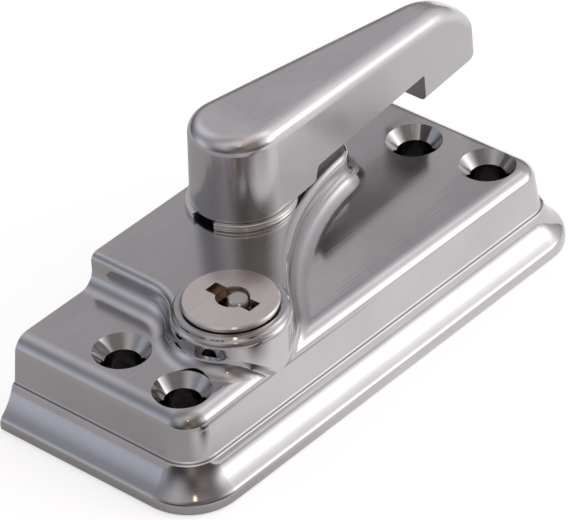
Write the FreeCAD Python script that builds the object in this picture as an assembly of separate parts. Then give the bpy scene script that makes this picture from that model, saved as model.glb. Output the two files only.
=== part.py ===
import FreeCAD, Part
import math
import os

# Keyed cam lock for a sliding window, in millimetres.
# X runs along the case, +Y towards the flat back face, +Z up from the sash.
# Y is counted from the back face here; at the end each piece moves by half the
# case's depth, so the finished part's origin is the centre of its underside.

# case: moulded foot, low ends for the screws, raised middle for the lever
case_length = 84.4
case_depth = 36.0
case_corner = 8.0
foot_band = 1.9
foot_round = 1.4
bottom_bevel = 0.4
ogee_inset = 3.0
ogee_top = 6.1
ogee_hollow = 0.4
crease_inset = 3.55
crease_height = 6.5
wall_inset = 4.1
low_top = 13.2
high_top = 18.2
low_edge_round = 2.6
high_edge_round = 1.2
step_fillet = 2.5
case_wall = 2.4

# raised middle, seen from above
step_left = -22.1
step_right = 20.3
step_right_corner = 4.5
step_inner_corner = 8.0
sweep_start_angle = -40.0
sweep_end_inset = 3.9
sweep_rise = 10.36

# screw holes: 8-gauge countersunk, 62 mm apart at the back and 65 mm in front
screw_bore_r = 2.6
screw_sink_r = 4.13
screw_sink_angle = 82.0
back_screw_end = 11.2
back_screw_y = -13.5
front_screw_end = 9.7
front_screw_inset = 10.25
pillar_r = 4.5
room_corner = 2.0

# lever and what turns with it
post_y = -8.2
hub_r = 7.2
hub_bottom = 19.3
hub_top = 32.3
arm_bottom = 21.4
arm_top_fall = 3.9
hub_step = 9.3
nose_r = 3.0
lever_reach = 49.4
lip_inner = 35.4
lip_bottom = 17.0
nose_round = 13.0
nose_overrun = 1.2
lip_round = 1.0
lip_corner = 0.4
top_bend_x = 0.0
top_bend_r = 40.0
hub_step_lean = 0.8
hub_step_round = 0.8
hub_edge_round = 0.6
lever_edge_round = 2.3
lever_draft = 2.0
spindle_r = 3.5
running_gap = 0.05
spindle_collar_r = 5.2
spindle_top_square = 6.0
spindle_low_square = 4.8
socket_depth = 9.5
bush_wall = 1.2
bearing_bottom = 12.4
bearing_boss_r = 7.0
ring_inner_r = 5.6
ring_outer_r = 7.9
ring_thick = 0.5
ring_gap_angle = 29.0
ring_gap_centre = 177.5

# cam under the case: hub, notched collar and crescent hook
cam_bottom = 4.4
cam_top = 11.6
cam_hub_r = 7.6
hook_top = 7.1
hook_inner_r = 12.0
hook_outer_r = 17.0
hook_from = -120.0
hook_to = -60.0
spoke_flare = 0.5
collar_from = 8.3
cam_room = 0.35
notch_floor_r = 5.6
notch_gap = 0.2
window_half = 17.6
window_bottom = 3.4
window_top = 12.4

# key cylinder
key_x = -19.3
boss_r = 8.5
boss_front_gap = 0.14
rim_r = 7.95
rim_height = 0.35
rim_bevel = 0.22
plug_head_r = 6.8
plug_head_bottom = 17.55
plug_head_top = 19.4
plug_head_gap = 0.25
plug_r = 5.45
plug_bottom = 12.25
shell_outer_r = 6.6
keyway_width = 2.2
keyway_length = 8.0
keyway_round_r = 2.4
wafer_count = 5
wafer_thick = 0.6
wafer_pitch = 0.95
wafer_first = 12.75
wafer_width = 4.6
wafer_length = 9.6
wafer_window_width = 2.5
wafer_window_length = 5.6
wafer_bitting = 0.45
wafer_gap = 0.05
spring_length = 3.2
spring_folds = 6
spring_swing = 0.25
spring_strip = 0.16
spring_height = 0.5
pocket_width = 0.85
pocket_gap = 0.1
lane_gap = 0.2
lane_depth = 0.5
keyway_floor = 0.2
keyway_offset = 0.45
shutter_r = 1.55
shutter_rise = 0.9
shutter_x = 1.2
shutter_y = -0.3

# crank on the plug's tail and the bolt that it slides
tail_square = 3.0
crank_r = 4.5
crank_top = 12.15
crank_bottom = 11.25
crank_throw = 3.2
crank_swing = 90.0
crank_pin_r = 0.9
crank_pin_gap = 0.15
bolt_bottom = 8.6
bolt_top = 11.1
bolt_tail_top = 9.9
bolt_width = 4.0
bolt_tip_at_lock = 5.9
bolt_gap = 0.15
bolt_tip_chamfer = 0.6
tail_rim = 1.4
guide_near = 7.5
guide_far = 12.5
guide_half_width = 7.0
cover_thick = 1.0
cover_screw_offset = 4.8

# screws and washers inside
plate_screw_r = 1.25
plate_screw_head_r = 2.8
plate_screw_length = 8.8
plate_post_r = 3.0
cover_screw_r = 0.85
cover_screw_head_r = 1.7
cover_screw_length = 5.5
crank_screw_r = 0.8
crank_screw_head_r = 1.9
crank_screw_head = 1.05
crank_screw_depth = 0.2
cam_screw_r = 1.5
cam_screw_head_r = 2.8
cam_screw_head = 1.7
cam_screw_depth = 5.6
cam_washer_r = 4.4
cam_washer_thick = 0.6
thrust_washer_r = 6.2
washer_clearance = 0.1
hole_clearance = 0.3
head_clearance = 0.1
head_slope = 0.8
recess_width = 0.5
screw_end_gap = 0.2
socket_gap = 0.3

# base plate let into the foot
plate_thick = 1.5
plate_inset = 2.0
plate_gap = 0.15
plate_screw_end = 9.2
plate_screw_back = 5.0
plate_screw_front = 16.0
plate_screw_x = 18.0

Z = FreeCAD.Vector(0, 0, 1)
half = case_length / 2
ceiling = high_top - case_wall
low_ceiling = low_top - case_wall
key_y = wall_inset + boss_front_gap + boss_r - case_depth
back_screw_x = half - back_screw_end
front_screw_x = half - front_screw_end
front_screw_y = front_screw_inset - case_depth
plate_screws = [
    (plate_screw_end - half, -plate_screw_back),
    (half - plate_screw_end, -plate_screw_back),
    (plate_screw_x, plate_screw_front - case_depth),
]
bolt_travel = 2 * crank_throw * math.sin(math.radians(crank_swing / 2))
key_to_post = math.hypot(key_x, post_y - key_y)
bolt_angle = math.degrees(math.atan2(post_y - key_y, -key_x))


def at(x, y, z=0.0):
    return FreeCAD.Vector(x, y, z)


def polar(radius, angle, x=0.0, y=0.0, z=0.0):
    turn = math.radians(angle)
    return at(x + radius * math.cos(turn), y + radius * math.sin(turn), z)


def cylinder(radius, low, high, x=0.0, y=0.0):
    return Part.makeCylinder(radius, high - low, at(x, y, low), Z)


def cone(low_r, high_r, low, high, x=0.0, y=0.0):
    return Part.makeCone(low_r, high_r, high - low, at(x, y, low), Z)


def block(x_range, y_range, z_range):
    size = [b - a for a, b in (x_range, y_range, z_range)]
    return Part.makeBox(*size, at(x_range[0], y_range[0], z_range[0]))


def line(start, end):
    return Part.LineSegment(start, end).toShape()


def arc(start, middle, end):
    return Part.Arc(start, middle, end).toShape()


def prism(edges, low, high):
    face = Part.Face(Part.Wire(edges))
    face.translate(at(0, 0, low))
    return face.extrude(at(0, 0, high - low))


def polygon(points, low, high):
    loop = [at(x, y) for x, y in points]
    return Part.Face(Part.makePolygon(loop + loop[:1])).extrude(
        at(0, 0, high - low)).translated(at(0, 0, low))


def rounded_plate(x_range, y_range, z_range, radius):
    plate = block(x_range, y_range, z_range)
    upright = [e for e in plate.Edges if abs(e.tangentAt(e.FirstParameter).z) > 0.9]
    return plate.makeFillet(radius, upright)


def screw_places():
    """The four screw holes, left pair first."""
    for side in (-1, 1):
        yield side * back_screw_x, back_screw_y
        yield side * front_screw_x, front_screw_y


def foot_section():
    """Section of the case's side: band, hollow moulding, crease, wall, round edge."""
    bow = math.sqrt(0.5)
    spring = at(0, 0, foot_band)
    rise = at(ogee_inset, 0, ogee_top)
    middle = (spring + rise) * 0.5
    chord = (rise - spring).Length
    along = (rise - spring).normalize()
    inward = at(along.z, 0, -along.x)
    hollow_r = (chord ** 2 / 4 + ogee_hollow ** 2) / (2 * ogee_hollow)
    centre = middle + inward * (ogee_hollow - hollow_r)
    round_z = centre.z - math.sqrt((hollow_r + foot_round) ** 2 - (foot_round - centre.x) ** 2)
    nose = at(foot_round, 0, round_z)
    start = centre + (nose - centre).normalize() * hollow_r
    nose_middle = nose + ((start - nose).normalize() + at(-1, 0)).normalize() * foot_round
    bowed = centre + ((start - centre) + (rise - centre)).normalize() * hollow_r
    shoulder = low_top - low_edge_round
    inner = wall_inset + low_edge_round
    deep = inner + 0.9
    round_middle = at(wall_inset + low_edge_round * (1 - bow), 0, low_top - low_edge_round * (1 - bow))
    edges = [
        line(at(bottom_bevel, 0), at(0, 0, bottom_bevel)),
        line(at(0, 0, bottom_bevel), at(0, 0, round_z)),
        arc(at(0, 0, round_z), nose_middle, start),
        arc(start, bowed, rise),
        line(rise, at(crease_inset, 0, crease_height)),
        line(at(crease_inset, 0, crease_height), at(wall_inset, 0, shoulder)),
        arc(at(wall_inset, 0, shoulder), round_middle, at(inner, 0, low_top)),
        line(at(inner, 0, low_top), at(deep, 0, low_top)),
        line(at(deep, 0, low_top), at(deep, 0)),
        line(at(deep, 0), at(bottom_bevel, 0)),
    ]
    return Part.Face(Part.Wire(edges))


def low_case():
    """The moulded foot and low body, carried round three sides."""
    section = foot_section()
    side = section.translated(at(-half, 0)).extrude(at(0, case_corner - case_depth, 0))
    turned = section.translated(at(-half, case_corner - case_depth))
    corner = turned.revolve(at(case_corner - half, case_corner - case_depth), Z, 90)
    front = section.rotated(at(0, 0), Z, 90).translated(at(case_corner - half, -case_depth))
    front = front.extrude(at(case_length - 2 * case_corner, 0, 0))
    rim = wall_inset + low_edge_round
    core = block((rim - half, half - rim), (rim - case_depth, 0), (0, low_top))
    mirrored = [s.mirror(at(0, 0), at(1, 0, 0)) for s in (side, corner)]
    return side.fuse([corner, front, core] + mirrored).removeSplitter()


def raised_outline():
    """Outline of the raised middle: step, key boss, long hollow sweep, right corner."""
    start = polar(boss_r, sweep_start_angle, key_x, key_y)
    outward = (start - at(key_x, key_y)).normalize()
    chord = at(step_right - sweep_end_inset, key_y + sweep_rise) - start
    sweep_r = chord.Length ** 2 / (2 * outward.dot(chord))
    sweep_centre = start + outward * sweep_r

    inner_x = step_left - step_inner_corner
    reach = boss_r + step_inner_corner
    inner_y = key_y + math.sqrt(reach ** 2 - (key_x - inner_x) ** 2)
    inner = at(inner_x, inner_y)
    step_end = at(step_left, inner_y)
    boss_left = at(key_x, key_y) + (inner - at(key_x, key_y)) * (boss_r / reach)
    inner_turn = math.degrees(math.atan2(boss_left.y - inner_y, boss_left.x - inner_x))
    boss_turn = math.degrees(math.atan2(boss_left.y - key_y, boss_left.x - key_x))
    boss_middle = (boss_turn + sweep_start_angle + 360) / 2

    outer_x = step_right - step_right_corner
    outer_y = sweep_centre.y + math.sqrt(
        (sweep_r + step_right_corner) ** 2 - (outer_x - sweep_centre.x) ** 2)
    outer = at(outer_x, outer_y)
    sweep_stop = sweep_centre + (outer - sweep_centre) * (sweep_r / (sweep_r + step_right_corner))
    first = math.degrees(math.atan2(start.y - sweep_centre.y, start.x - sweep_centre.x))
    last = math.degrees(math.atan2(sweep_stop.y - sweep_centre.y, sweep_stop.x - sweep_centre.x))
    outer_turn = math.degrees(math.atan2(sweep_stop.y - outer_y, sweep_stop.x - outer_x))

    back_left = at(step_left, 0)
    back_right = at(step_right, 0)
    return [
        line(back_left, step_end),
        arc(step_end, polar(step_inner_corner, inner_turn / 2, inner_x, inner_y), boss_left),
        arc(boss_left, polar(boss_r, boss_middle, key_x, key_y), start),
        arc(start, polar(sweep_r, (first + last) / 2, sweep_centre.x, sweep_centre.y), sweep_stop),
        arc(sweep_stop, polar(step_right_corner, outer_turn / 2, outer_x, outer_y), at(step_right, outer_y)),
        line(at(step_right, outer_y), back_right),
        line(back_right, back_left),
    ]


def middle_of(edge):
    return edge.valueAt((edge.FirstParameter + edge.LastParameter) / 2)


def outer_case():
    """The whole outside of the casting, with its rounded steps."""
    outline = raised_outline()
    raised = prism(outline, low_ceiling, high_top)
    whole = low_case().fuse(raised).removeSplitter()
    line_above = Part.Wire(outline)
    foot = []
    for edge in whole.Edges:
        point = middle_of(edge)
        below_step = edge.BoundBox.ZMax < low_top + 0.01 and point.z > low_top - low_edge_round - 1
        on_outline = Part.Vertex(at(point.x, point.y)).distToShape(line_above)[0] < 0.05
        if below_step and on_outline and point.y < -0.01:
            foot.append(edge)
    whole = whole.makeFillet(step_fillet, foot)
    top = [e for e in whole.Edges if e.BoundBox.ZMin > high_top - 0.05 and middle_of(e).y < -0.01]
    return whole.makeFillet(high_edge_round, top)


def along_bolt(shape):
    """Places a shape drawn along +X from the key axis on the bolt's line to the post."""
    return shape.rotated(at(0, 0), Z, bolt_angle).translated(at(key_x, key_y))


def housing():
    outer = outer_case()
    inset = wall_inset + case_wall
    low_room = rounded_plate(
        (inset - half, half - inset), (inset - case_depth, -case_wall), (0, low_ceiling), room_corner)
    room_outline = Part.Face(Part.Wire(raised_outline())).makeOffset2D(-case_wall)
    high_room = room_outline.translated(at(0, 0, low_ceiling - case_wall)).extrude(
        at(0, 0, ceiling - low_ceiling + case_wall))
    shell = outer.cut([low_room, high_room])

    posts = [cylinder(pillar_r, plate_thick, low_top, x, y) for x, y in screw_places()]
    posts += [cylinder(plate_post_r, plate_thick, low_top, x, y) for x, y in plate_screws]
    posts.append(cylinder(boss_r - 0.1, plug_bottom - 0.05, high_top, key_x, key_y))
    posts.append(cylinder(bearing_boss_r, bearing_bottom, high_top, 0, post_y))
    guide = along_bolt(block(
        (guide_near, guide_far), (-guide_half_width, guide_half_width), (bolt_bottom - 0.05, high_top)))
    posts.append(guide)
    inner = posts[0].fuse(posts[1:]).common(outer)
    rim = cylinder(rim_r, high_top - 1, high_top + rim_height, key_x, key_y)
    rim = rim.makeChamfer(rim_bevel, [e for e in rim.Edges if e.BoundBox.ZMin > high_top])
    body = shell.fuse([inner, rim])

    cuts = []
    sink_depth = (screw_sink_r - screw_bore_r) / math.tan(math.radians(screw_sink_angle / 2))
    for x, y in screw_places():
        cuts.append(cylinder(screw_bore_r, -1, low_top + 1, x, y))
        cuts.append(cone(screw_bore_r, screw_sink_r, low_top - sink_depth, low_top, x, y))
        cuts.append(cylinder(screw_sink_r, low_top, low_top + step_fillet, x, y))
    for x, y in plate_screws:
        cuts.append(cylinder(plate_screw_r, 0, plate_screw_length + screw_end_gap, x, y))
    cuts.append(rounded_plate(
        (plate_inset - half, half - plate_inset), (plate_inset - case_depth, -case_wall / 2),
        (-1, plate_thick), case_corner - plate_inset))
    cuts.append(block((-window_half, window_half), (-case_wall - 1, 1), (window_bottom, window_top)))
    cuts.append(cylinder(spindle_r + running_gap + bush_wall, 0, high_top + 1, 0, post_y))
    cuts.append(cylinder(cam_hub_r + cam_room, plate_thick, cam_top + cam_room, 0, post_y))
    cuts.append(cylinder(thrust_washer_r + cam_room, cam_top, bearing_bottom, 0, post_y))
    cuts.append(cylinder(shell_outer_r, 0, high_top + 1, key_x, key_y))
    cuts.append(cylinder(plug_head_r + plug_head_gap, plug_head_bottom - 0.05, high_top + 1, key_x, key_y))
    slide = bolt_width / 2 + bolt_gap
    cuts.append(along_bolt(block((guide_near - 1, guide_far + 1), (-slide, slide), (0, bolt_top + bolt_gap))))
    for side in (-1, 1):
        middle = (guide_near + guide_far) / 2
        hole = cylinder(cover_screw_r, bolt_bottom - 1, bolt_bottom + cover_screw_length,
                        middle, side * cover_screw_offset)
        cuts.append(along_bolt(hole))
    return body.cut(cuts).removeSplitter()


def base_plate():
    inset = plate_inset + plate_gap
    plate = rounded_plate(
        (inset - half, half - inset), (inset - case_depth, -case_wall / 2 - plate_gap),
        (0, plate_thick), case_corner - inset)
    holes = [cylinder(screw_bore_r, -1, plate_thick + 1, x, y) for x, y in screw_places()]
    for x, y in plate_screws:
        holes += [hole.translated(at(x, y)) for hole in countersunk_hole(
            plate_screw_r, plate_screw_head_r, plate_thick)]
    return plate.cut(holes)


def countersunk_hole(screw_r, head_r, thick):
    """Clearance hole up through a plate at z 0, with its countersink below."""
    hole_r = screw_r + hole_clearance
    sink_r = head_r + head_clearance
    deep = (sink_r - hole_r) * head_slope
    return [cylinder(hole_r, -1, thick + 1), cone(sink_r, hole_r, 0, deep)]


def flat_head_screw(screw_r, head_r, length):
    """Countersunk screw with its head at z 0 and its shank upwards, cross recess below."""
    deep = (head_r - screw_r) * head_slope
    screw = cone(head_r, screw_r, 0, deep).fuse(cylinder(screw_r, deep, length)).removeSplitter()
    arm = head_r * 0.6
    recess = block((-arm, arm), (-recess_width / 2, recess_width / 2), (-1, deep * 0.5))
    return screw.cut([recess, recess.rotated(at(0, 0), Z, 90)])


def plate_screw(place):
    screw = flat_head_screw(plate_screw_r, plate_screw_head_r, plate_screw_length)
    return screw.translated(at(place[0], place[1], head_clearance / 2))


def spindle_bush():
    bush = cylinder(spindle_r + running_gap + bush_wall, bearing_bottom, high_top - 0.1, 0, post_y)
    return bush.cut(cylinder(spindle_r + running_gap, 0, high_top + 1, 0, post_y))


def lever_outline(shrink):
    """Plan of the lever: round hub and small round nose joined by straight sides."""
    nose_x = lever_reach - nose_r
    big = hub_r - shrink
    small = nose_r - shrink
    up = 90 - math.degrees(math.asin((big - small) / nose_x))
    hub = [polar(big, up), polar(big, 180), polar(big, -up)]
    nose = [polar(small, -up, nose_x), polar(small, 0, nose_x), polar(small, up, nose_x)]
    return Part.Wire([arc(*hub), line(hub[2], nose[0]), arc(*nose), line(nose[2], hub[0])])


def lever_body():
    """The lever's sides, drawn in towards the top by the casting draft."""
    low = lip_bottom - 1
    high = hub_top + 1
    slope = math.tan(math.radians(lever_draft))
    wide = lever_outline((low - hub_bottom) * slope).translated(at(0, 0, low))
    narrow = lever_outline((high - hub_bottom) * slope).translated(at(0, 0, high))
    return Part.makeLoft([wide, narrow], True, True)


def rounded_loop(corners):
    """Closed loop in the XZ plane through (x, z, radius) corners, as a face."""
    points = [at(x, 0, z) for x, z, _ in corners]
    count = len(points)
    arcs = []
    for i, (_, _, radius) in enumerate(corners):
        back = (points[i - 1] - points[i]).normalize()
        ahead = (points[(i + 1) % count] - points[i]).normalize()
        angle = back.getAngle(ahead)
        reach = radius / math.tan(angle / 2)
        bisector = (back + ahead).normalize()
        middle = points[i] + bisector * (radius / math.sin(angle / 2) - radius)
        arcs.append((points[i] + back * reach, middle, points[i] + ahead * reach, radius))
    edges = []
    for i, (start, middle, end, radius) in enumerate(arcs):
        if radius > 0:
            edges.append(arc(start, middle, end))
        edges.append(line(end, arcs[(i + 1) % count][0]))
    return Part.Face(Part.Wire(edges))


def lever_side():
    """Side view of the lever: flat then falling top, round nose, lip, stepped underside."""
    back = -hub_r - nose_overrun
    front = lever_reach + nose_overrun
    corners = [
        (back, hub_bottom, 0),
        (back, hub_top, 0),
        (top_bend_x, hub_top, top_bend_r),
        (front, hub_top - arm_top_fall, nose_round),
        (front, lip_bottom, 0),
        (lip_inner, lip_bottom, 0),
        (lip_inner, arm_bottom, lip_corner),
        (hub_step, arm_bottom, hub_step_round),
        (hub_step - hub_step_lean, hub_bottom, hub_edge_round),
    ]
    return rounded_loop(corners)


def lever():
    reach = 2 * hub_r
    side = lever_side().translated(at(0, -reach, 0)).extrude(at(0, 2 * reach, 0))
    body = side.common(lever_body()).removeSplitter()
    upper = []
    for edge in body.Edges:
        point = middle_of(edge)
        upright = abs(edge.tangentAt(edge.FirstParameter).z) > 0.9
        seam = abs(point.y) < 0.01 and edge.Curve.TypeId == "Part::GeomLine"
        if point.z > arm_bottom + 1 and not upright and not seam:
            upper.append(edge)
    body = body.makeFillet(lever_edge_round, upper)
    low_nose = []
    for edge in body.Edges:
        at_lip = edge.BoundBox.ZMax < lip_bottom + 0.01
        if at_lip and edge.Curve.TypeId == "Part::GeomCircle":
            low_nose.append(edge)
    body = body.makeFillet(lip_round, low_nose)
    square = spindle_top_square / 2
    socket_top = hub_bottom + socket_depth + socket_gap
    socket = block((-square, square), (-square, square), (hub_bottom - 1, socket_top))
    return body.cut(socket).translated(at(0, post_y, 0))


def spindle():
    low = spindle_low_square / 2
    high = spindle_top_square / 2
    rod = cylinder(spindle_r, bearing_bottom, hub_bottom)
    collar = cylinder(spindle_collar_r, high_top + 0.1, hub_bottom)
    foot = block((-low, low), (-low, low), (cam_bottom, bearing_bottom + 0.5))
    top = block((-high, high), (-high, high), (hub_bottom - 0.5, hub_bottom + socket_depth))
    body = rod.fuse([collar, foot, top]).removeSplitter()
    hole = cylinder(cam_screw_r, 0, cam_bottom + cam_screw_depth + screw_end_gap)
    return body.cut(hole).translated(at(0, post_y, 0))


def split_ring(low):
    ring = cylinder(ring_outer_r, low, low + ring_thick).cut(cylinder(ring_inner_r, low - 1, low + 1))
    near = ring_gap_centre - ring_gap_angle / 2
    far = ring_gap_centre + ring_gap_angle / 2
    reach = 2 * ring_outer_r
    gap = prism([line(at(0, 0), polar(reach, near)), line(polar(reach, near), polar(reach, far)),
                 line(polar(reach, far), at(0, 0))], low - 1, low + 1)
    return ring.cut(gap).translated(at(0, post_y, 0))


def thrust_washer():
    washer = cylinder(thrust_washer_r, cam_top + running_gap, bearing_bottom - running_gap)
    return washer.cut(cylinder(spindle_r + washer_clearance, 0, high_top)).translated(at(0, post_y, 0))


def cam():
    """Hub with a notched collar above and a crescent hook below."""
    hub = cylinder(cam_hub_r, cam_bottom, cam_top)
    reach = 2 * hook_outer_r
    band = cylinder(hook_outer_r, cam_bottom, hook_top).cut(cylinder(hook_inner_r, 0, hook_top + 1))
    steps = [polar(reach, hook_from), polar(reach, (hook_from + hook_to) / 2), polar(reach, hook_to)]
    wedge = prism([line(at(0, 0), steps[0]), line(steps[0], steps[1]), line(steps[1], steps[2]),
                   line(steps[2], at(0, 0))], cam_bottom - 1, hook_top + 1)
    band = band.common(wedge)
    tip_r = (hook_outer_r - hook_inner_r) / 2
    ring_r = hook_inner_r + tip_r
    tip = polar(ring_r, hook_from)
    root = polar(ring_r, hook_to)
    ends = [cylinder(tip_r, cam_bottom, hook_top, tip.x, tip.y),
            cylinder(tip_r, cam_bottom, hook_top, root.x, root.y)]
    spoke = block((0, ring_r), (-tip_r - spoke_flare, tip_r), (cam_bottom, hook_top))
    spoke = spoke.rotated(at(0, 0), Z, hook_to)
    body = hub.fuse([band, spoke] + ends).removeSplitter()
    width = bolt_width / 2 + notch_gap
    notch = block((notch_floor_r, cam_hub_r + 1), (-width, width), (collar_from, cam_top + 1))
    square = spindle_low_square / 2
    hole = block((-square, square), (-square, square), (0, cam_top + 1))
    cuts = [notch.rotated(at(0, 0), Z, bolt_angle), notch.rotated(at(0, 0), Z, bolt_angle + 180), hole]
    return body.cut(cuts).translated(at(0, post_y, 0))


def cam_washer():
    washer = cylinder(cam_washer_r, cam_bottom - cam_washer_thick, cam_bottom)
    hole = cylinder(cam_screw_r + washer_clearance, 0, cam_bottom + 1)
    return washer.cut(hole).translated(at(0, post_y, 0))


def cam_screw():
    top = cam_bottom - cam_washer_thick
    low = top - cam_screw_head
    head = cylinder(cam_screw_head_r, low, top)
    head = head.makeChamfer(cam_screw_head / 2, [e for e in head.Edges if e.BoundBox.ZMax < low + 0.1])
    screw = head.fuse(cylinder(cam_screw_r, top, cam_bottom + cam_screw_depth)).removeSplitter()
    arm = block((-cam_screw_r, cam_screw_r), (-recess_width / 2, recess_width / 2),
                (0, top - cam_screw_head / 2))
    return screw.cut([arm, arm.rotated(at(0, 0), Z, 90)]).translated(at(0, post_y, 0))


def cylinder_shell():
    shell = cylinder(shell_outer_r, plug_bottom - 0.05, plug_head_bottom - 0.05)
    groove = wafer_width / 2 + lane_gap
    bore = cylinder(plug_r + running_gap, 0, high_top)
    lane_reach = plug_r + lane_depth
    lane = block((-groove, groove), (-lane_reach, lane_reach),
                 (wafer_first - lane_gap, plug_head_bottom - lane_depth))
    return shell.cut([bore, lane]).translated(at(key_x, key_y))


def wafer_heights():
    return [wafer_first + i * wafer_pitch for i in range(wafer_count)]


def keyway(low, high):
    """The key's slot with a round swelling at its middle."""
    slot = block((-keyway_width / 2, keyway_width / 2), (-keyway_length / 2, keyway_length / 2), (low, high))
    swelling = cylinder(keyway_round_r, plug_head_bottom, high)
    return slot.fuse(swelling).translated(at(keyway_offset, 0))


def plug():
    head = cylinder(plug_head_r, plug_head_bottom, plug_head_top)
    head = head.makeChamfer(rim_bevel, [e for e in head.Edges if e.BoundBox.ZMin > plug_head_top - 0.05])
    barrel = cylinder(plug_r, plug_bottom, plug_head_bottom + 0.5)
    square = tail_square / 2
    tail = block((-square, square), (-square, square), (crank_bottom, plug_bottom + 0.5))
    body = head.fuse([barrel, tail]).removeSplitter()
    cuts = [keyway(wafer_first - keyway_floor, plug_head_top + 1)]
    cuts.append(cylinder(crank_screw_r, 0, plug_bottom + crank_screw_depth + screw_end_gap))
    side = wafer_width / 2 + wafer_gap
    pocket_reach = spring_length / 2 + pocket_gap
    for low in wafer_heights():
        slice_z = (low - wafer_gap, low + wafer_thick + wafer_gap)
        cuts.append(block((-side, side), (-plug_r, plug_r), slice_z))
        cuts.append(block((side - 0.1, side + pocket_width), (-pocket_reach, pocket_reach), slice_z))
    return body.cut(cuts).translated(at(key_x, key_y))


def wafer(index):
    low = wafer_heights()[index]
    plate = block((-wafer_width / 2, wafer_width / 2), (-wafer_length / 2, wafer_length / 2),
                  (low, low + wafer_thick))
    upright = [e for e in plate.Edges if abs(e.tangentAt(e.FirstParameter).z) > 0.9]
    plate = plate.makeFillet(0.5, upright)
    step = (index % 3 - 1) * wafer_bitting
    window = block((keyway_offset - wafer_window_width / 2, keyway_offset + wafer_window_width / 2),
                   (step - wafer_window_length / 2, step + wafer_window_length / 2), (0, high_top))
    return plate.cut(window).translated(at(key_x, key_y))


def wafer_spring(index):
    """Folded strip spring in the pocket beside its wafer."""
    pitch = spring_length / spring_folds
    folds = [((-1) ** i * spring_swing, (i - spring_folds / 2) * pitch) for i in range(spring_folds + 1)]
    half_strip = spring_strip / 2
    one_side = [(x - half_strip, y) for x, y in folds]
    other_side = [(x + half_strip, y) for x, y in reversed(folds)]
    low = wafer_heights()[index] + (wafer_thick - spring_height) / 2
    strip = polygon(one_side + other_side, low, low + spring_height)
    return strip.translated(at(key_x + wafer_width / 2 + wafer_gap + pocket_width / 2, key_y))


def keyway_shutter():
    """Domed steel shutter behind the slot's round swelling."""
    low = plug_head_bottom + 0.05
    brim = low + 0.4
    post = cylinder(shutter_r, low, brim)
    dome = Part.makeSphere(shutter_r, at(0, 0, brim))
    dome = dome.common(cylinder(shutter_r + 1, brim, brim + shutter_rise))
    return post.fuse(dome).removeSplitter().translated(at(key_x + shutter_x, key_y + shutter_y))


def crank():
    disc = cylinder(crank_r, crank_bottom, crank_top)
    square = tail_square / 2
    hole = block((-square, square), (-square, square), (0, high_top))
    angle = bolt_angle + 90 + crank_swing / 2
    place = polar(crank_throw, angle)
    pin = cylinder(crank_pin_r, bolt_bottom + 0.1, crank_bottom, place.x, place.y)
    return disc.cut(hole).fuse(pin).removeSplitter().translated(at(key_x, key_y))


def crank_screw():
    low = crank_bottom - crank_screw_head
    head = cylinder(crank_screw_head_r, low, crank_bottom)
    head = head.makeChamfer(crank_screw_head / 3, [e for e in head.Edges if e.BoundBox.ZMax < low + 0.1])
    screw = head.fuse(cylinder(crank_screw_r, crank_bottom, plug_bottom + crank_screw_depth)).removeSplitter()
    slot = block((-crank_screw_head_r - 1, crank_screw_head_r + 1), (-recess_width / 2, recess_width / 2),
                 (0, low + crank_screw_head / 2))
    return screw.cut(slot).translated(at(key_x, key_y))


def lock_bolt():
    """Sliding bolt: nose in the guide, thin tail with a cross slot for the crank pin."""
    tip = key_to_post - bolt_tip_at_lock - bolt_travel
    wide = bolt_width / 2
    slot_at = -crank_throw * math.sin(math.radians(crank_swing / 2))
    slot_half = crank_pin_r + crank_pin_gap
    nose = block((crank_screw_head_r + 0.4, tip), (-wide, wide), (bolt_bottom, bolt_top))
    front = [e for e in nose.Edges if e.BoundBox.XMin > tip - 0.01 and e.BoundBox.ZLength > 1]
    nose = nose.makeChamfer(bolt_tip_chamfer, front)
    tail_end = guide_near - bolt_travel - bolt_gap
    lane_end = crank_throw + slot_half
    tail = block((slot_at - slot_half - tail_rim, tail_end), (-wide, lane_end + tail_rim),
                 (bolt_bottom, bolt_tail_top))
    lane = block((slot_at - slot_half, slot_at + slot_half), (-slot_at - slot_half, lane_end), (0, high_top))
    return along_bolt(nose.fuse(tail).removeSplitter().cut(lane))


def bolt_cover():
    margin = 0.1
    low = bolt_bottom - 0.05 - cover_thick
    plate = block((guide_near + margin, guide_far - margin), (-guide_half_width + margin,
                  guide_half_width - margin), (low, bolt_bottom - 0.05))
    middle = (guide_near + guide_far) / 2
    holes = []
    for side in (-1, 1):
        for hole in countersunk_hole(cover_screw_r, cover_screw_head_r, cover_thick):
            holes.append(hole.translated(at(middle, side * cover_screw_offset, low)))
    return along_bolt(plate.cut(holes))


def cover_screw(side):
    low = bolt_bottom - 0.05 - cover_thick
    screw = flat_head_screw(cover_screw_r, cover_screw_head_r, cover_screw_length)
    middle = (guide_near + guide_far) / 2
    return along_bolt(screw.translated(at(middle, side * cover_screw_offset, low + head_clearance / 2)))


pieces = {
    "housing": housing,
    "base_plate": base_plate,
    "spindle_bush": spindle_bush,
    "lever": lever,
    "spindle": spindle,
    "split_ring_lower": lambda: split_ring(high_top + 0.02),
    "split_ring_upper": lambda: split_ring(high_top + 0.04 + ring_thick),
    "thrust_washer": thrust_washer,
    "cam": cam,
    "cam_washer": cam_washer,
    "cam_screw": cam_screw,
    "cylinder_shell": cylinder_shell,
    "plug": plug,
    "keyway_shutter": keyway_shutter,
    "crank": crank,
    "crank_screw": crank_screw,
    "lock_bolt": lock_bolt,
    "bolt_cover": bolt_cover,
    "cover_screw_left": lambda: cover_screw(1),
    "cover_screw_right": lambda: cover_screw(-1),
}
for number, place in enumerate(plate_screws, 1):
    pieces["plate_screw_%d" % number] = lambda place=place: plate_screw(place)
for index in range(wafer_count):
    pieces["wafer_%d" % (index + 1)] = lambda index=index: wafer(index)
    pieces["wafer_spring_%d" % (index + 1)] = lambda index=index: wafer_spring(index)

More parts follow.
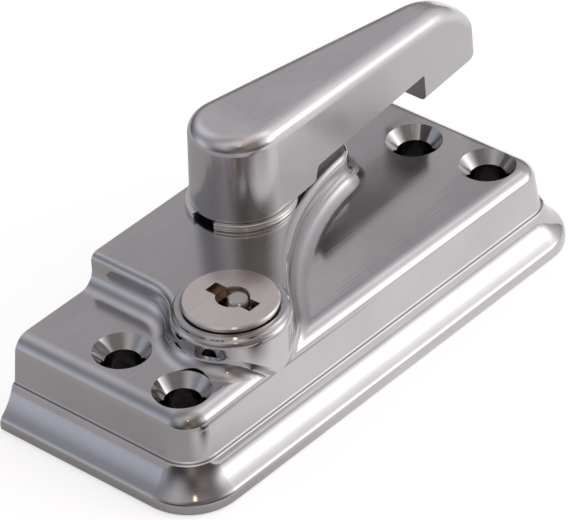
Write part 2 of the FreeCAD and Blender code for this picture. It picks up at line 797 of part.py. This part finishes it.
os.makedirs("parts", exist_ok=True)
for name, make in pieces.items():
    shape = make()
    solids = shape.Solids
    if len(solids) == 1:
        shape = solids[0]
    shape.translate(at(0, case_depth / 2))
    shape.exportStep("parts/%s.step" % name)
    print("%-18s solids %d valid %s volume %.0f" % (name, len(solids), shape.isValid(), shape.Volume))
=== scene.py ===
import bpy
import math
from mathutils import Matrix, Vector

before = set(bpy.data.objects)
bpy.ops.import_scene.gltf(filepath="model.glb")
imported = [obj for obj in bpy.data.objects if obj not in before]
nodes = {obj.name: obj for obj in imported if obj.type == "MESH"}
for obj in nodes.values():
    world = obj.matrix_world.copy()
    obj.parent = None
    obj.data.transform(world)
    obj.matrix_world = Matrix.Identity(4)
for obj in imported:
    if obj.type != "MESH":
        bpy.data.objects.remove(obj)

print("stage: frame loaded")
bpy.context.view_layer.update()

caseLook = dict(
    colour=(0.585, 0.57, 0.58), topRough=0.15, sideRough=0.07, grainScale=3000, grainDepth=0.00002,
    edgeWear=0.2, specks=1, creaseHeight=0.0063, creaseHalf=0.0002, creaseSlope=0.5,
    lineStart=0.000056, lineEnd=0.000104, lineShade=0.5, creaseHighlight=1.55)
leverLook = dict(
    colour=(0.84, 0.82, 0.835), topRough=0.24, sideRough=0.19, grainScale=4500, grainDepth=0.000003,
    edgeWear=0.2, specks=1, armStart=0.008, armEnd=0.02, armMatt=2.5, uprightFull=0.1, uprightNone=0.85,
    sideShade=0.31)
plugLook = dict(
    colour=(0.92, 0.83, 0.8), topRough=0.19, sideRough=0.2, grainScale=2500, grainDepth=0,
    edgeWear=0.2, specks=0)
ringLook = dict(
    colour=(0.84, 0.82, 0.80), topRough=0.14, sideRough=0.1, grainScale=5000, grainDepth=0,
    edgeWear=0, specks=0, weldGap=0.000001, rounding=0.00018, roundingSteps=4)
shutterLook = dict(
    colour=(0.74, 0.72, 0.70), topRough=0.3, sideRough=0.3, grainScale=5000, grainDepth=0,
    edgeWear=0, specks=0)
steelLook = dict(
    colour=(0.58, 0.57, 0.55), topRough=0.28, sideRough=0.24, grainScale=5000, grainDepth=0.000006,
    edgeWear=0.3, specks=0)
springLook = dict(
    colour=(0.66, 0.63, 0.58), topRough=0.2, sideRough=0.2, grainScale=6000, grainDepth=0,
    edgeWear=0.1, specks=0)
zincLook = dict(
    colour=(0.47, 0.47, 0.48), topRough=0.42, sideRough=0.42, grainScale=1400, grainDepth=0.00002,
    edgeWear=0.2, specks=1)
waferLook = dict(
    colour=(0.2, 0.15, 0.09), topRough=0.4, sideRough=0.4, grainScale=5000, grainDepth=0.000004,
    edgeWear=0, specks=0)
brassLook = dict(
    colour=(0.34, 0.25, 0.14), topRough=0.38, sideRough=0.34, grainScale=5000, grainDepth=0.000006,
    edgeWear=0.1, specks=1)
surfaceLook = dict(  # what all the metals share
    sideSlope=0.8, topSlope=0.98, grainStretch=(0.02, 1, 1), grainDetail=3, grainRoughness=0.6, flatGrain=0.5,
    cloudScale=90, cloudDetail=4, cloudRoughness=0.55, noiseLow=0.3, noiseHigh=0.7,
    cloudSheen=(0.85, 1.2), grainSheen=(0.93, 1.07), cloudTone=(0.94, 1.05), grainTone=(0.96, 1.04),
    speckScale=420, speckCore=0.03, speckEdge=0.06, speckRarity=0.93, speckColour=(0.12, 0.11, 0.11),
    edgeStart=0.52, edgeEnd=0.62, edgeColour=(0.8, 0.79, 0.78), bumpStrength=0.6)
floorLook = dict(
    colour=(0.9, 0.9, 0.9), size=1.6, roughness=0.9, seenGlow=0.6, dimGlow=0, brightGlow=0.5,
    glowToward=(0.6, -0.8, 0), glowStart=-0.01, glowEnd=0.014, caseHalfLength=0.036, caseHalfDepth=0.0155,
    darkReflectionColour=(0.14, 0.12, 0.11), darkReflectionNear=-0.03, darkReflectionFar=-0.036, darkReflectionRight=-0.009, darkReflectionMiddle=-0.026,
    darkReflectionLeft=-0.029, darkReflectionLeftEnd=-0.042, farStart=-0.0365, farEnd=-0.0415, farGlow=0.25,
    farRight=0.018, farRightEnd=0.028)
studioLook = dict(background=1.0, base=0.02)
studioLamps = dict(
    frontLow=dict(turn=307, height=13, tightness=60, colour=(1.1, 1.06, 1.08)),
    frontSide=dict(turn=295, height=25, tightness=25, colour=(0.66, 0.67, 0.69)),
    frontRight=dict(turn=318, height=17, tightness=30, colour=(1.6, 1.56, 1.56)),
    rightLow=dict(turn=345, height=12, tightness=11, colour=(0.56, 0.545, 0.56)),
    right=dict(turn=18, height=28, tightness=11, colour=(0.35, 0.335, 0.345)),
    backRight=dict(turn=65, height=35, tightness=11, colour=(0.34, 0.33, 0.34)),
    backHigh=dict(turn=90, height=50, tightness=11, colour=(0.45, 0.45, 0.49)),
    leftLow=dict(turn=135, height=6, tightness=10, colour=(0.62, 0.65, 0.75)),
    leftHigh=dict(turn=180, height=50, tightness=11, colour=(0.48, 0.46, 0.46)),
    front=dict(turn=260, height=15, tightness=11, colour=(0.12, 0.097, 0.087)),
    key=dict(turn=338, height=51, tightness=60, colour=(0.35, 0.35, 0.35)),
    keySoft=dict(turn=325, height=42, tightness=20, colour=(0.55, 0.55, 0.55)),
    high=dict(turn=0, height=60, tightness=20, colour=(0.45, 0.45, 0.49)),
    above=dict(turn=290, height=72, tightness=11, colour=(0.46, 0.39, 0.36)),
    cameraLow=dict(turn=225, height=4, tightness=25, colour=(0.22, 0.2, 0.18)),
    cameraLeft=dict(turn=192, height=28, tightness=25, colour=(0.17, 0.17, 0.19)),
    cameraRight=dict(turn=250, height=32, tightness=25, colour=(0.14, 0.13, 0.12)),
    cameraHigh=dict(turn=225, height=68, tightness=25, colour=(0.34, 0.31, 0.28)),
    glint=dict(turn=228, height=52, tightness=1400, colour=(3.4, 2.8, 1.9)),
)
cameraLook = dict(
    sensor=36, lens=295.7, clipStart=0.05, place=(-0.38368986, -0.35590735, 0.39389567),
    right=(0.65335659, -0.75526252, -0.05199696), up=(0.47366607, 0.35424326, 0.80632014),
    back=(-0.59056381, -0.55144377, 0.5891894))


def newTree(name, inputs, outputs):
    tree = bpy.data.node_groups.new(name, "ShaderNodeTree")
    for way, sockets in (("INPUT", inputs), ("OUTPUT", outputs)):
        for socketName, kind in sockets.items():
            tree.interface.new_socket(socketName, in_out=way, socket_type="NodeSocket" + kind)
    given = tree.nodes.new("NodeGroupInput").outputs
    result = tree.nodes.new("NodeGroupOutput").inputs
    return tree, given, result


def addNode(tree, kind, inputs=None, **settings):
    node = tree.nodes.new(kind)
    for key, value in settings.items():
        setattr(node, key, value)
    for key, value in (inputs or {}).items():
        if isinstance(value, bpy.types.NodeSocket):
            tree.links.new(value, node.inputs[key])
        else:
            node.inputs[key].default_value = value
    return node


def maths(tree, operation, *values):
    return addNode(tree, "ShaderNodeMath", dict(enumerate(values)), operation=operation).outputs["Value"]


def product(tree, first, *others):
    for other in others:
        first = maths(tree, "MULTIPLY", first, other)
    return first


def vectorMaths(tree, operation, output, *values):
    node = addNode(tree, "ShaderNodeVectorMath", dict(enumerate(values)), operation=operation)
    return node.outputs[output]


def scaled(tree, vector, factor):
    inputs = {0: vector, "Scale": factor}
    return addNode(tree, "ShaderNodeVectorMath", inputs, operation="SCALE").outputs["Vector"]


def axes(tree, vector):
    return addNode(tree, "ShaderNodeSeparateXYZ", {"Vector": vector}).outputs


def ramp(tree, value, start, end, low=0, high=1):
    inputs = {"Value": value, "From Min": start, "From Max": end, "To Min": low, "To Max": high}
    return addNode(tree, "ShaderNodeMapRange", inputs).outputs["Result"]


def mix(tree, kind, factor, first, second):
    inputs = {"Factor": factor, "A": first, "B": second}
    return addNode(tree, "ShaderNodeMix", inputs, data_type=kind).outputs["Result"]


def wornMetalTree(look):
    tree, given, result = newTree("wornMetal", {
        "Colour": "Color", "Top Roughness": "Float", "Side Roughness": "Float", "Grain Scale": "Float",
        "Grain Depth": "Float", "Edge Wear": "Float", "Specks": "Float",
    }, {"Colour": "Color", "Roughness": "Float", "Normal": "Vector"})

    def varied(noise, ends):
        return ramp(tree, noise, look["noiseLow"], look["noiseHigh"], *ends)

    place = addNode(tree, "ShaderNodeTexCoord").outputs
    top = ramp(tree, axes(tree, place["Normal"])["Z"], look["sideSlope"], look["topSlope"])
    grain = addNode(tree, "ShaderNodeTexNoise", {
        "Vector": vectorMaths(tree, "MULTIPLY", "Vector", place["Object"], look["grainStretch"]),
        "Scale": given["Grain Scale"], "Detail": look["grainDetail"], "Roughness": look["grainRoughness"]})
    lines = mix(tree, "FLOAT", top, look["flatGrain"], grain.outputs["Fac"])  # the sides aren't brushed
    cloud = addNode(tree, "ShaderNodeTexNoise", {
        "Vector": place["Object"], "Scale": look["cloudScale"], "Detail": look["cloudDetail"],
        "Roughness": look["cloudRoughness"]}).outputs["Fac"]
    sheen = mix(tree, "FLOAT", top, given["Side Roughness"], given["Top Roughness"])
    rough = product(tree, sheen, varied(cloud, look["cloudSheen"]), varied(lines, look["grainSheen"]))
    tree.links.new(rough, result["Roughness"])

    tone = product(tree, varied(cloud, look["cloudTone"]), varied(lines, look["grainTone"]))
    pointed = addNode(tree, "ShaderNodeNewGeometry").outputs["Pointiness"]
    wear = product(tree, ramp(tree, pointed, look["edgeStart"], look["edgeEnd"]), given["Edge Wear"])
    worn = mix(tree, "RGBA", wear, scaled(tree, given["Colour"], tone), (*look["edgeColour"], 1))
    speck = addNode(tree, "ShaderNodeTexVoronoi", {
        "Vector": place["Object"], "Scale": look["speckScale"]}).outputs
    rare = maths(tree, "GREATER_THAN", speck["Color"], look["speckRarity"])  # few cells show a speck
    pit = ramp(tree, speck["Distance"], look["speckCore"], look["speckEdge"], 1, 0)
    pits = product(tree, pit, product(tree, rare, given["Specks"]))
    tree.links.new(mix(tree, "RGBA", pits, worn, (*look["speckColour"], 1)), result["Colour"])

    bump = addNode(tree, "ShaderNodeBump", {
        "Strength": look["bumpStrength"], "Height": lines, "Distance": given["Grain Depth"]})
    tree.links.new(bump.outputs["Normal"], result["Normal"])
    return tree


def metal(name, look):
    material = bpy.data.materials.new(name)
    material.use_nodes = True
    tree = material.node_tree
    shader = tree.nodes["Principled BSDF"]
    shader.inputs["Metallic"].default_value = 1
    effect = addNode(tree, "ShaderNodeGroup", {
        "Colour": (*look["colour"], 1), "Top Roughness": look["topRough"], "Side Roughness": look["sideRough"],
        "Grain Scale": look["grainScale"], "Grain Depth": look["grainDepth"], "Edge Wear": look["edgeWear"],
        "Specks": look["specks"]}, node_tree=wornMetal, name="effect")
    for output, socket in (("Colour", "Base Color"), ("Roughness", "Roughness"), ("Normal", "Normal")):
        tree.links.new(effect.outputs[output], shader.inputs[socket])
    return material


# Paints light and shade into the base colour by scaling it with a factor.
def paintLightOnBase(tree, factor):
    paintedLight = scaled(tree, tree.nodes["effect"].outputs["Colour"], factor)
    tree.links.new(paintedLight, tree.nodes["Principled BSDF"].inputs["Base Color"])


# Painted shade and highlight: the up-facing crease ledge is darkened along its middle and brightened on both
# edges.
def paintCreaseShadeAndHighlight(tree, look):
    place = addNode(tree, "ShaderNodeTexCoord").outputs
    above = maths(tree, "SUBTRACT", axes(tree, place["Object"])["Z"], look["creaseHeight"])
    gap = maths(tree, "ABSOLUTE", above)
    line = ramp(tree, gap, look["lineStart"], look["lineEnd"], look["lineShade"], look["creaseHighlight"])
    ledge = maths(tree, "LESS_THAN", gap, look["creaseHalf"])
    facingUp = maths(tree, "GREATER_THAN", axes(tree, place["Normal"])["Z"], look["creaseSlope"])
    paintLightOnBase(tree, mix(tree, "FLOAT", product(tree, ledge, facingUp), 1, line))  # painted shade: a dark line along the middle of the ledge, with painted highlights along its edges


# Rougher arm sides, plus painted shade that darkens the upright sides of arm and hub.
def mattAndShadeLeverSides(tree, look):
    place = addNode(tree, "ShaderNodeTexCoord").outputs
    arm = ramp(tree, axes(tree, place["Object"])["X"], look["armStart"], look["armEnd"])
    upright = ramp(tree, axes(tree, place["Normal"])["Z"], look["uprightFull"], look["uprightNone"], 1, 0)
    matt = maths(tree, "MULTIPLY_ADD", product(tree, arm, upright), look["armMatt"] - 1, 1)  # arm only
    rough = product(tree, tree.nodes["effect"].outputs["Roughness"], matt)
    tree.links.new(rough, tree.nodes["Principled BSDF"].inputs["Roughness"])
    paintLightOnBase(tree, maths(tree, "MULTIPLY_ADD", upright, -look["sideShade"], 1))  # painted shade: upright sides of arm and hub made darker


def dress(names, material):
    for name in names:
        piece = nodes[name]
        piece.data.materials.clear()
        piece.data.materials.append(material)
        for face in piece.data.polygons:
            face.material_index = 0


wornMetal = wornMetalTree(surfaceLook)
rings = ["split_ring_lower", "split_ring_upper"]
wafers = ["wafer_%d" % i for i in range(1, 6)]
springs = ["wafer_spring_%d" % i for i in range(1, 6)]
plateScrews = ["plate_screw_%d" % i for i in range(1, 4)]
steelPieces = ["spindle", "thrust_washer", "cam_washer", "cam_screw", "crank", "crank_screw", "lock_bolt",
               "bolt_cover", "cover_screw_left", "cover_screw_right"]
caseMetal = metal("satinCase", caseLook)
paintCreaseShadeAndHighlight(caseMetal.node_tree, caseLook)
dress(["housing"], caseMetal)
leverMetal = metal("satinLever", leverLook)
mattAndShadeLeverSides(leverMetal.node_tree, leverLook)
dress(["lever"], leverMetal)
dress(["plug"], metal("nickelPlug", plugLook))
dress(steelPieces + plateScrews, metal("plainSteel", steelLook))
dress(springs, metal("springSteel", springLook))
dress(rings, metal("brightRing", ringLook))
dress(["keyway_shutter"], metal("dullSteel", shutterLook))
dress(["base_plate", "cam"], metal("castZinc", zincLook))
dress(["spindle_bush", "cylinder_shell"], metal("plainBrass", brassLook))
dress(wafers, metal("darkBrass", waferLook))
for name in rings:
    weld = nodes[name].modifiers.new("joined edge", "WELD")
    weld.merge_threshold = ringLook["weldGap"]
    bevel = nodes[name].modifiers.new("rolled edge", "BEVEL")  # wound from round-edged strip
    bevel.width = ringLook["rounding"]
    bevel.segments = ringLook["roundingSteps"]
    bevel.limit_method = "ANGLE"
print("stage: materials made")


def darkReflectionMask(tree, spot, look):  # painted dark reflection: a dark patch of floor in front of the lock, seen only in the metal
    return product(tree, ramp(tree, spot["Y"], look["darkReflectionNear"], look["darkReflectionFar"]),
                   ramp(tree, spot["X"], look["darkReflectionRight"], look["darkReflectionMiddle"]),
                   ramp(tree, spot["X"], look["darkReflectionLeftEnd"], look["darkReflectionLeft"]))


def clearOfCase(tree, place, look):  # no glow under the case
    sides = axes(tree, vectorMaths(tree, "ABSOLUTE", "Vector", place))
    pastEnd = maths(tree, "GREATER_THAN", sides["X"], look["caseHalfLength"])
    pastFront = maths(tree, "GREATER_THAN", sides["Y"], look["caseHalfDepth"])
    return maths(tree, "MAXIMUM", pastEnd, pastFront)


def floorGlow(tree, place, spot, look):  # brightest in front and to the right
    along = vectorMaths(tree, "DOT_PRODUCT", "Value", place, look["glowToward"])
    glow = ramp(tree, along, look["glowStart"], look["glowEnd"], look["dimGlow"], look["brightGlow"])
    farLight = ramp(tree, spot["X"], look["farRight"], look["farRightEnd"], look["farGlow"], 1)
    return product(tree, glow, ramp(tree, spot["Y"], look["farStart"], look["farEnd"], 1, farLight))


bpy.ops.mesh.primitive_plane_add(size=floorLook["size"], location=(0, 0, 0))
floor = bpy.context.active_object
floor.name = "floor"
floorMaterial = bpy.data.materials.new("paleFloor")
floorMaterial.use_nodes = True
floorTree = floorMaterial.node_tree
floorShader = floorTree.nodes["Principled BSDF"].inputs
floorShader["Roughness"].default_value = floorLook["roughness"]
floorShader["Specular IOR Level"].default_value = 0
floorShader["Emission Color"].default_value = (1, 1, 1, 1)
floorPlace = addNode(floorTree, "ShaderNodeTexCoord").outputs["Object"]
floorSpot = axes(floorTree, floorPlace)
floorRays = addNode(floorTree, "ShaderNodeLightPath").outputs
# painted dark reflection: the floor turns dark here for glossy rays only
darkReflection = darkReflectionMask(floorTree, floorSpot, floorLook)
darkReflectionSeen = product(floorTree, darkReflection, floorRays["Is Glossy Ray"])
floorColour = mix(floorTree, "RGBA", darkReflectionSeen, (*floorLook["colour"], 1), (*floorLook["darkReflectionColour"], 1))
floorTree.links.new(floorColour, floorShader["Base Color"])
glossyGlow = product(floorTree, floorGlow(floorTree, floorPlace, floorSpot, floorLook),
                     maths(floorTree, "SUBTRACT", 1, darkReflection), floorRays["Is Glossy Ray"])
bothGlows = maths(floorTree, "MULTIPLY_ADD", floorRays["Is Camera Ray"], floorLook["seenGlow"], glossyGlow)
openGlow = product(floorTree, bothGlows, clearOfCase(floorTree, floorPlace, floorLook))
floorTree.links.new(openGlow, floorShader["Emission Strength"])
floor.data.materials.append(floorMaterial)
print("stage: floor laid")


def softLampTree():
    tree, given, result = newTree(
        "softLamp", {"Direction": "Vector", "Tightness": "Float", "Light": "Color"}, {"Colour": "Color"})
    place = addNode(tree, "ShaderNodeTexCoord").outputs["Generated"]
    facing = vectorMaths(tree, "DOT_PRODUCT", "Value", place, given["Direction"])
    fade = maths(tree, "EXPONENT", product(tree, maths(tree, "SUBTRACT", facing, 1), given["Tightness"]))
    tree.links.new(scaled(tree, given["Light"], fade), result["Colour"])
    return tree


world = bpy.data.worlds.new("studio")
bpy.context.scene.world = world
world.use_nodes = True
worldTree = world.node_tree
sky = worldTree.nodes["Background"]
softLamp = softLampTree()
light = (studioLook["base"],) * 3
for lampName, lamp in studioLamps.items():
    turn, height = math.radians(lamp["turn"]), math.radians(lamp["height"])
    direction = (math.cos(turn) * math.cos(height), math.sin(turn) * math.cos(height), math.sin(height))
    lobe = addNode(worldTree, "ShaderNodeGroup", {
        "Direction": direction, "Tightness": lamp["tightness"], "Light": (*lamp["colour"], 1),
    }, node_tree=softLamp, label=lampName)
    light = vectorMaths(worldTree, "ADD", "Vector", lobe.outputs["Colour"], light)
worldTree.links.new(light, sky.inputs["Color"])
plain = addNode(worldTree, "ShaderNodeBackground", {
    "Color": (1, 1, 1, 1), "Strength": studioLook["background"]})
seen = addNode(worldTree, "ShaderNodeMixShader", {
    0: addNode(worldTree, "ShaderNodeLightPath").outputs["Is Camera Ray"],
    1: sky.outputs["Background"], 2: plain.outputs["Background"]})
worldTree.links.new(seen.outputs["Shader"], worldTree.nodes["World Output"].inputs["Surface"])
print("stage: lights set")

cameraData = bpy.data.cameras.new("photoView")
cameraData.sensor_width = cameraLook["sensor"]
cameraData.lens = cameraLook["lens"]
cameraData.clip_start = cameraLook["clipStart"]
camera = bpy.data.objects.new("photoView", cameraData)
bpy.context.collection.objects.link(camera)
turned = Matrix([Vector(cameraLook[axis]) for axis in ("right", "up", "back")]).transposed().to_4x4()
camera.matrix_world = Matrix.Translation(cameraLook["place"]) @ turned
bpy.context.scene.camera = camera
bpy.context.scene.view_settings.view_transform = "Standard"
print("stage: camera placed")
